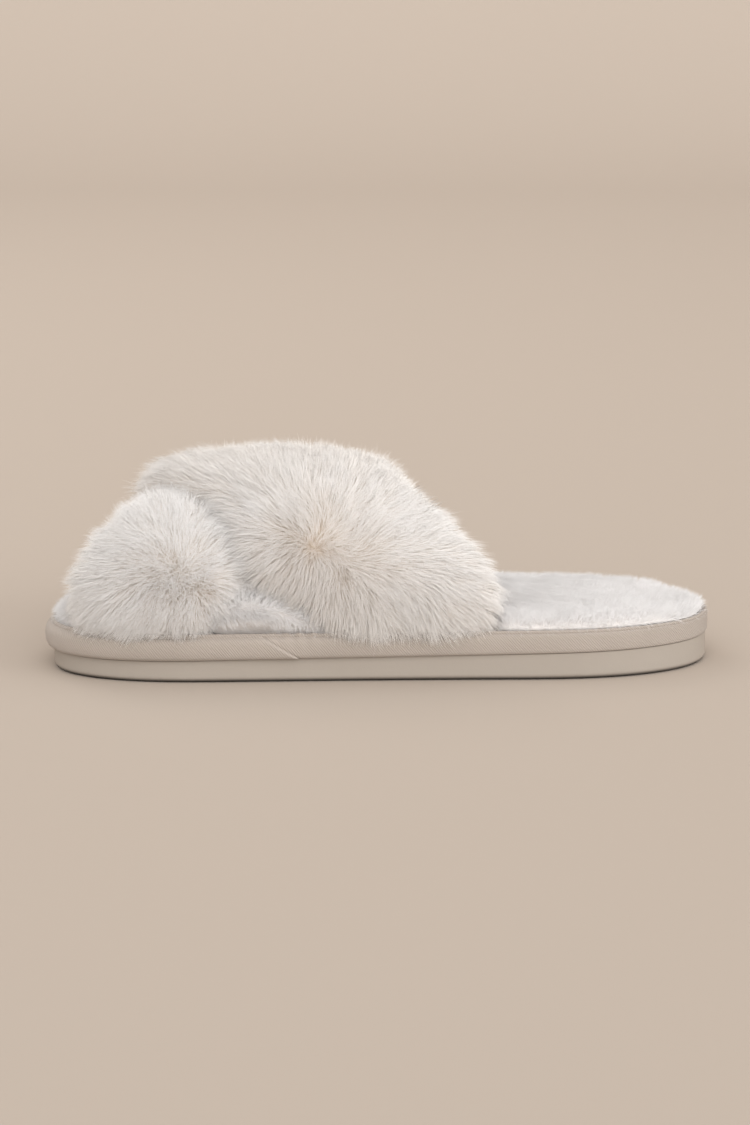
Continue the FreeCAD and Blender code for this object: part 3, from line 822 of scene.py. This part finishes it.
def grow_long_fur(name, body, parting, cover, per_mm2, tone_light_and_shade):
    points, normals = scatter(body, per_mm2)
    keep = height_off_inside(points) > FUR_OFF_INSIDE
    keep &= points[:, 2] > STRAP_BASE + FUR_OFF_SOLE
    if cover is not None:
        for i in np.nonzero(keep)[0]:
            hit = cover.ray_cast(Vector(points[i]), Vector(normals[i]), COVERED_WITHIN)
            keep[i] = hit[0] is None
    points, normals = points[keep], normals[keep]
    flow, far = fur_flow(points, normals, parting)
    count = len(points)
    open_out = smooth(far / FUR_GAIN_REACH)
    above = points[:, 2] - STRAP_BASE
    low = smooth(above / SOLE_REACH)
    length = (FUR_LENGTH + FUR_LENGTH_GAIN * open_out) * (SOLE_SHARE + (1.0 - SOLE_SHARE) * low)
    length *= 1.0 + 0.10 * value_noise(points, 5.0, 71) + rng.normal(0.0, 0.08, count)
    outer_rear = smooth((points[:, 1] - 2.0) / 18.0) * smooth((points[:, 0] + 12.0) / 16.0)
    length *= 1.0 - REAR_CUT * outer_rear
    turn = ROOT_LEAN + (6.0 + 26.0 * low) * open_out
    lean_root = np.radians(turn + rng.normal(0, ROOT_SCATTER, count))
    lean_tip = np.radians(TIP_LEAN + 42.0 * open_out + rng.normal(0, TIP_SCATTER, count))
    droop = 0.15 + 0.55 * (1 - smooth((normals[:, 2] + 0.2) / 0.9)) * (1.5 - 0.9 * low)
    lines = strand_lines(points, normals, flow, length, lean_root, lean_tip, droop, knots=4)
    lines = curl(lines, size=4.2, amount=1.7, seed=301)
    lines = curl(lines, size=1.5, amount=1.0, seed=401)
    lines, _ = clump(lines, size=5.0, pull=0.07, seed=5)
    lines, tuft = clump(lines, size=1.7, pull=0.17, seed=9)
    tone = rng.random(tuft.max() + 1)[tuft]
    # Painted shade: strands are darkened near the parting, low down over the sole and on the crest,
    # on top of their own random tone.
    parting_shade = 1.0 - smooth(far / PARTING_SHADE_REACH)
    lightest, parting_shade_depth, low_shade_depth = tone_light_and_shade
    shade = lightest + 0.10 * tone + 0.20 * rng.random(count) - parting_shade_depth * parting_shade
    shade -= low_shade_depth * (1 - smooth(above / LOW_SHADE_REACH))
    shade -= CREST_SHADE_DEPTH * smooth((above - CREST_SHADE_FROM) / CREST_SHADE_REACH)
    radius = HAIR_RADIUS * (0.75 + 0.5 * rng.random(count))
    strand_pieces(name, lines, radius, shade, normals, long_fur, name, FUR_PER_PIECE)


def height_off_inside(points):
    """About how far points stand off the inside surface of the arch."""
    x = points[:, 0]
    top = ARCH_TOP - ARCH_DROP * (x - ARCH_CREST_X) ** 2
    reach = np.where(points[:, 1] < 0, np.interp(x, *NEAR), np.interp(x, *OUTER)) - ARCH_INSET
    reach = np.maximum(reach, LEAST_REACH)
    radial = np.sqrt(
        (np.abs(points[:, 1]) / reach) ** (2 / ARCH_BOX)
        + (np.maximum(points[:, 2] - STRAP_BASE, 0) / (top - STRAP_BASE)) ** 2
    )
    return (radial - 1.0) * 0.5 * (reach + top - STRAP_BASE)


def bvh_of(ob):
    co, _, tri = mesh_arrays(ob)
    return BVHTree.FromPolygons(co.tolist(), tri.tolist())


over_tree = bvh_of(over_body)
grow_long_fur("over_strap_fur", over_body, OVER_PARTING, None, OVER_DENSITY, OVER_TONE_LIGHT_AND_SHADE)
grow_long_fur(
    "under_strap_fur", under_body, UNDER_PARTING, over_tree, UNDER_DENSITY, UNDER_TONE_LIGHT_AND_SHADE
)
for body, node in ((under_body, "under_strap_padding"), (over_body, "over_strap_padding")):
    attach(body, "root")
    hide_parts(node)


# ------------------------------------------------------------------ footbed
# Offset of the sock's rim from the sole outline, in the open and where a strap goes over it.
PLUSH_RIM, PLUSH_UNDER_STRAP, PLUSH_EASE = -2.0, -8.0, 3.5
# The rim starts to come out again this far inside a strap's edges.
TUCK_MARGIN = 6.0
PLUSH_TOP = 27.0
PILE = 4.6
SOCK_LIFT = 0.3
# The heel end of the sock falls below its top by these heights at these places along it.
HEEL_FALL_X = [-200.0, 96.0, 104.0, 112.0, 121.0, 128.0, 136.0]
HEEL_FALL = [0.0, 0.0, -0.5, -1.8, -4.2, -7.0, -11.0]


def sock_offset():
    """Offset of the sock's rim from the sole outline, at each outline point."""
    x, near = SOLE_LOOP[:, 0], SOLE_LOOP[:, 1] < 0
    tuck = np.zeros(len(x))
    for stations in (UNDER_STATIONS, OVER_STATIONS):
        front = np.where(near, stations[0, 1], stations[-1, 1])
        rear = np.where(near, stations[0, 2], stations[-1, 2])
        outside = np.maximum(front + TUCK_MARGIN - x, x - rear + TUCK_MARGIN)
        tuck = np.maximum(tuck, 1.0 - smooth(outside / PLUSH_EASE))
    return PLUSH_RIM + (PLUSH_UNDER_STRAP - PLUSH_RIM) * tuck


# The sock swells up through the gap between the straps, on the inner side of the foot.
GAP_X, GAP_HALF_LENGTH, GAP_RISE, GAP_DEPTH = -50.0, 20.0, 10.5, 26.0
GAP_EASE, GAP_FULL = 5.0, 6.0


def gap_swell(x, y):
    along = np.exp(-((x - GAP_X) / GAP_HALF_LENGTH) ** 2)
    edge = PLUSH_RIM - np.interp(x, *NEAR)
    inward = np.clip(y - edge, 0.0, None)
    across = smooth(inward / GAP_EASE) * (1.0 - smooth((inward - GAP_FULL) / GAP_DEPTH))
    return GAP_RISE * along * across


# Rings of the cushion from underneath round its rim and onto its top: inset and share of its rise.
CUSHION_RINGS = (
    (12.0, 0.0), (6.0, 0.0), (1.8, 0.0), (0.9, 0.12), (1.2, 0.35), (2.4, 0.62),
    (4.8, 0.84), (8.4, 0.96), (13.0, 1.0),
)
TOP_RINGS = (0.8, 0.6, 0.4, 0.2, 0.05)
MIDDLE_SAG = 0.5
PILE_DEPTH_SHARE = 0.85
FIRST_SIDE_RING = 3
RING_STEP = 0.08
OUTLINE_STRIDE = 6


def footbed_body():
    """Crowned cushion under the plush pile, closed underneath."""
    pick = slice(None, None, OUTLINE_STRIDE)
    loop, out, rim = SOLE_LOOP[pick], SOLE_OUT[pick], sock_offset()[pick]
    base = wrap_top(loop[:, 0]) + SOCK_LIFT
    top = PLUSH_TOP - PILE * PILE_DEPTH_SHARE
    rings = []
    for inset, rise in CUSHION_RINGS:
        xy = loop + out * (rim - inset)[:, None]
        rings.append(np.column_stack([xy, base + (top - base) * rise]))
    edge = rings[-1]
    for share in TOP_RINGS:
        xy = edge[:, :2] * share
        sag = MIDDLE_SAG * (1 - share)
        rings.append(np.column_stack([xy, np.full(len(xy), top - sag)]))
    rings = np.array(rings)
    fallen = top + np.interp(rings[..., 0], HEEL_FALL_X, HEEL_FALL)
    floor = wrap_top(rings[..., 0]) + SOCK_LIFT + RING_STEP * np.arange(len(rings))[:, None]
    rings[..., 2] = np.minimum(rings[..., 2], np.maximum(fallen, floor))
    side = rings[FIRST_SIDE_RING:]
    side[..., 2] += gap_swell(side[..., 0], side[..., 1])
    mesh = grid_mesh("footbed_body", rings, close_v=True, cap=True)
    ob = new_object("footbed_body", mesh, plush_backing)
    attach(ob, "root")
    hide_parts("footbed_foam")
    return ob


PLUSH_RADIUS, PLUSH_DENSITY = 0.075, 6.0
PLUSH_PER_PIECE = 19000
# Extra length of the pile in the gap between the straps.
GAP_PILE = 4.0
# The pile leans mostly towards the heel.
PLUSH_LEAN = (0.35, -0.1, 0.0)
RIM_HEIGHT = 4.0


def grow_plush(body, per_mm2):
    points, normals = scatter(body, per_mm2)
    keep = (normals[:, 2] > -0.3) & (points[:, 2] > wrap_top(points[:, 0]) + 0.15)
    points, normals = points[keep], normals[keep]
    count = len(points)
    swirl = noise_vectors(points, 9.0, 131)
    fine = noise_vectors(points, 2.5, 151)
    above_rim = points[:, 2] - wrap_top(points[:, 0]) - SOCK_LIFT
    rim = (1.0 - smooth(above_rim / RIM_HEIGHT)) * np.clip(1.0 - normals[:, 2], 0, 1)
    flow = swirl * 0.6 + fine * 0.5 + np.array(PLUSH_LEAN) + rng.normal(0, 0.4, points.shape)
    flow = flow * (1.0 - 0.7 * rim)[:, None] + rim[:, None] * np.array([0.0, 0.0, -1.0])
    flow = unit(flow - (flow * normals).sum(1, keepdims=True) * normals)
    in_gap = gap_swell(points[:, 0], points[:, 1]) / GAP_RISE
    length = (PILE + GAP_PILE * in_gap) * (1.0 + 0.08 * value_noise(points, 6.0, 171))
    length *= 1.0 + rng.normal(0, 0.10, count)
    lean_root = np.radians(10.0 + rng.normal(0, 7, count))
    lean_tip = np.radians(32.0 + rng.normal(0, 12, count))
    droop = 0.1 + 1.1 * rim
    lines = strand_lines(points, normals, flow, length, lean_root, lean_tip, droop, knots=3)
    lines, tuft = clump(lines, size=1.5, pull=0.22, seed=19)
    tone = rng.random(tuft.max() + 1)[tuft]
    # Painted light: the pile in the gap between the straps is made lighter against the shadow the
    # straps cast there, on top of its random tone.
    shade = 0.40 + 0.25 * tone + 0.35 * rng.random(count) + 0.5 * in_gap
    facing = unit(normals + np.array([0.0, -1.0, 0.0]) * (0.25 + 0.9 * in_gap)[:, None])
    radius = PLUSH_RADIUS * (0.8 + 0.4 * rng.random(count))
    strand_pieces(
        "footbed_plush", lines, radius, shade, facing,
        short_plush, "footbed_plush", PLUSH_PER_PIECE,
    )


footbed = footbed_body()
grow_plush(footbed, PLUSH_DENSITY)


# ------------------------------------------------------------------ strap lining
# The lining ends this far inside the padded body and is this thick, less small ripples.
LINING_SHY, LINING_THICK, LINING_RIPPLE = 1.0, 1.1, 0.12
LINING_ROWS, LINING_COLS = 90, 34


def strap_lining(name, stations, base, insets, node):
    """Thin brushed lining on the inside of a strap."""
    angles = np.linspace(0.0, 180.0, LINING_ROWS)
    rows = []
    for angle in angles:
        front, rear = strap_span(stations, angle, insets, LINING_SHY)
        x = np.linspace(front, rear, LINING_COLS)
        a = np.full_like(x, angle)
        ripple = LINING_RIPPLE * value_noise(np.column_stack([x, a, a * 0]), 6.0, 91)
        top = lifted(x, a, base(x, a) + LINING_THICK)
        bottom = lifted(x[::-1], a, base(x[::-1], a) + ripple)
        rows.append(np.vstack([top, bottom]))
    mesh = grid_mesh(name, np.array(rows), close_v=True, cap=True)
    ob = new_object(name, mesh, lining_fleece)
    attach(ob, "root")
    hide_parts(node)


strap_lining("under_strap_fleece", UNDER_STATIONS, under_base, UNDER_PAD, "under_strap_lining")
strap_lining("over_strap_fleece", OVER_STATIONS, over_base, OVER_PAD, "over_strap_lining")


# ------------------------------------------------------------------ woven wrap
BULGE_TOE, BULGE_HEEL = 2.8, 0.2
LAP_X, LAP_SLOPE = -31.0, 1.6
# Across the tape, from its lower inner edge round the bulge and the rolled hem to its upper
# inner edge: offset from the sole outline, share of the bulge, share of the height.
TAPE_PROFILE = np.array([
    (-4.8, 0.0, 0.0), (-2.4, 0.0, 0.0), (-0.4, 0.0, 0.0), (0.0, 0.55, 0.07),
    (0.0, 0.82, 0.17), (0.0, 0.95, 0.30), (0.0, 1.0, 0.44), (0.0, 1.0, 0.58),
    (0.0, 0.94, 0.72), (0.0, 0.76, 0.84), (0.0, 0.45, 0.93), (-0.30, 0.12, 0.975),
    (-0.05, 0.06, 1.02), (-0.15, 0.0, 1.09), (-0.65, 0.0, 1.13), (-1.20, 0.0, 1.10),
    (-1.50, 0.0, 1.03), (-2.8, 0.0, 1.0), (-4.8, 0.0, 0.98),
])
TAPE_FINE = 73
LAP_THICK, LAP_FADE, LAP_EDGE = 0.85, 16.0, 0.8
GROOVE_DEPTH, GROOVE_WIDTH = 0.6, 0.55
PUCKER_REACH, PUCKER_RATE, PUCKER_DEPTH, PUCKER_LIFT = 12.0, 1.15, 0.35, 0.6
WANDER_RADIUS, WANDER_SIZE, WANDER_DEPTH = 60, 7.0, 0.14
# The weave's way across the tape: millimetres for a full bulge and for the full height.
WEAVE_BULGE, WEAVE_HEIGHT = 1.5, 9.0


def wrap_mesh():
    loop, out = SOLE_LOOP, SOLE_OUT
    x = loop[:, 0]
    low = outsole_top(x) + 0.1
    tall = wrap_top(x) - low
    share = (x + HALF_LENGTH) / (2 * HALF_LENGTH)
    bulge = BULGE_TOE + (BULGE_HEEL - BULGE_TOE) * share
    lengths = np.linalg.norm(np.roll(loop, -1, 0) - loop, axis=1)
    s = np.r_[0.0, np.cumsum(lengths)[:-1]]
    total = lengths.sum()
    flat, part, rise = TAPE_PROFILE.T
    fine = np.linspace(0, len(TAPE_PROFILE) - 1, TAPE_FINE)
    index = np.arange(len(TAPE_PROFILE))
    flat, part, rise = (np.interp(fine, index, q) for q in (flat, part, rise))
    for _ in range(2):
        for q in (flat, part, rise):
            q[1:-1] = 0.5 * q[1:-1] + 0.25 * (q[:-2] + q[2:])
    offset = flat[None, :] + part[None, :] * bulge[:, None]
    height = low[:, None] + rise[None, :] * tall[:, None]
    at_s = np.repeat(s[:, None], len(flat), 1)
    around = 2 * math.pi * at_s / total
    ring = np.stack([
        np.cos(around) * WANDER_RADIUS,
        np.sin(around) * WANDER_RADIUS,
        rise[None, :] * 10 + 0 * around,
    ], -1)
    wander = value_noise(ring.reshape(-1, 3), WANDER_SIZE, 211).reshape(around.shape)
    offset = offset + WANDER_DEPTH * wander * part[None, :]
    near = loop[:, 1] < 0
    lap_line = (x[:, None] - LAP_X) + rise[None, :] * tall[:, None] * LAP_SLOPE
    step = smooth(0.5 - lap_line / LAP_EDGE) * np.exp(-np.maximum(-lap_line, 0) / LAP_FADE)
    groove = np.exp(-(lap_line / GROOVE_WIDTH) ** 2)
    outer = (part > 0.05)[None, :]
    lap = np.where(near[:, None] & outer, LAP_THICK * step - GROOVE_DEPTH * groove, 0.0)
    pucker_at = np.exp(-((x - (LAP_X + 2.0)) / PUCKER_REACH) ** 2) * near
    waves = np.sin(x * PUCKER_RATE)[:, None]
    pucker = pucker_at[:, None] * waves * (rise[None, :] ** 3) * PUCKER_DEPTH
    offset = offset + lap + pucker
    height = height + pucker * PUCKER_LIFT
    points = np.empty(offset.shape + (3,))
    points[..., 0] = x[:, None] + out[:, 0][:, None] * offset
    points[..., 1] = loop[:, 1][:, None] + out[:, 1][:, None] * offset
    points[..., 2] = height
    mesh = grid_mesh("platform_wrap_tape", points, close_u=True, close_v=True)
    steps = np.hypot(np.diff(flat + part * WEAVE_BULGE), np.diff(rise * WEAVE_HEIGHT))
    across = np.r_[0.0, np.cumsum(steps)]
    u = np.repeat(s[:, None], len(flat), 1).ravel()
    v = np.repeat(across[None, :], len(s), 0).ravel()
    corner = np.zeros(len(mesh.loops), np.int32)
    mesh.loops.foreach_get("vertex_index", corner)
    layer = mesh.uv_layers.new(name="weave")
    weave = np.column_stack([u[corner], v[corner]]).astype(np.float32)
    layer.uv.foreach_set("vector", weave.ravel())
    return mesh


wrap = new_object("platform_wrap_tape", wrap_mesh(), woven_tape)
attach(wrap, "root")
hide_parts("platform_wrap")


# ------------------------------------------------------------------ carried-over CAD nodes
def dress(node, mat):
    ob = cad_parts[node]
    ob.data.materials.clear()
    ob.data.materials.append(mat)


dress("outsole", moulded_sole)
dress("platform_midsole", hidden_foam)
dress("sock_backing_board", hidden_foam)
dress("sock_wrap_seam_thread", thread_spun)
THREADS = ("front_seam_thread", "rear_seam_thread", "near_anchor_stitches", "far_anchor_stitches")
for strap in ("under_strap", "over_strap"):
    for kind in THREADS:
        dress(f"{strap}_{kind}", thread_spun)


# ------------------------------------------------------------------ floor, light, camera
def flat_material(name, colour, roughness):
    mat, tree, bsdf = material(name)
    coords = tree.nodes.new("ShaderNodeTexCoord").outputs["Object"]
    clouds = noise_node(tree, 1.2, 2.0, coords)
    darker = tuple(c * 0.985 for c in colour)
    paint = colour_between(tree, clouds.outputs[0], darker, colour)
    tree.links.new(paint, bsdf.inputs["Base Color"])
    bsdf.inputs["Roughness"].default_value = roughness
    bsdf.inputs["Specular IOR Level"].default_value = 0.15
    return mat


SWEEP_STEPS = 12


def sweep_floor():
    """Floor that curves up into a plain backdrop, in metres."""
    wide, near, far, radius, tall = 9.0, -9.0, 1.6, 0.9, 4.0
    path = [(near, 0.0), (far, 0.0)]
    for i in range(1, SWEEP_STEPS + 1):
        a = math.pi / 2 * i / SWEEP_STEPS
        path.append((far + radius * math.sin(a), radius * (1 - math.cos(a))))
    path.append((far + radius, tall))
    rows = np.array([[(x, y, z) for x in (-wide, wide)] for y, z in path]) / MM
    mesh = grid_mesh("floor", rows)
    ob = new_object("floor", mesh, flat_material("floor_paint", (0.478, 0.412, 0.353), 0.9))


sweep_floor()


def soft_sun(name, source, strength, angle, colour):
    data = bpy.data.lights.new(name, "SUN")
    data.energy = strength
    data.angle = math.radians(angle)
    data.color = colour
    ob = bpy.data.objects.new(name, data)
    ob.rotation_euler = (-Vector(source)).to_track_quat("-Z", "Y").to_euler()
    bpy.context.scene.collection.objects.link(ob)


def area_light(name, place, aim, size, power, colour):
    data = bpy.data.lights.new(name, "AREA")
    data.shape = "RECTANGLE"
    data.size = data.size_y = size
    data.energy = power
    data.color = colour
    ob = bpy.data.objects.new(name, data)
    ob.location = place
    ob.rotation_euler = (Vector(aim) - Vector(place)).to_track_quat("-Z", "Y").to_euler()
    bpy.context.scene.collection.objects.link(ob)


soft_sun("key", (0.02, -1.0, 0.66), strength=1.08, angle=50.0, colour=(1.0, 0.988, 0.975))
area_light(
    "back", (-0.7, 1.0, 1.1), (0.0, 0.0, 0.03), size=0.8, power=3.2, colour=(1.0, 0.99, 0.98)
)
soft_sun("side", (1.0, -0.55, 0.22), strength=1.25, angle=40.0, colour=(1.0, 0.992, 0.985))

ROOM_COLOUR, ROOM_STRENGTH = (1.0, 0.974, 0.95, 1), 0.98
world = bpy.data.worlds.new("studio")
world.use_nodes = True
world.node_tree.nodes["Background"].inputs[0].default_value = ROOM_COLOUR
world.node_tree.nodes["Background"].inputs[1].default_value = ROOM_STRENGTH
bpy.context.scene.world = world
bpy.context.scene.view_settings.view_transform = "Standard"
bpy.context.scene.cycles.max_bounces = 14
bpy.context.scene.cycles.diffuse_bounces = 12

CAMERA_ELEVATION = math.radians(12.0)
CAMERA_DISTANCE = 1.6
CAMERA_AIM = Vector((-0.002, 0.0, 0.0378))
CAMERA_LENS = 128.0
camera_data = bpy.data.cameras.new("camera")
camera_data.lens = CAMERA_LENS
camera = bpy.data.objects.new("camera", camera_data)
back = Vector((0.0, -math.cos(CAMERA_ELEVATION), math.sin(CAMERA_ELEVATION)))
camera.location = CAMERA_AIM + back * CAMERA_DISTANCE
camera.rotation_euler = (-back).to_track_quat("-Z", "Y").to_euler()
bpy.context.scene.collection.objects.link(camera)
bpy.context.scene.camera = camera
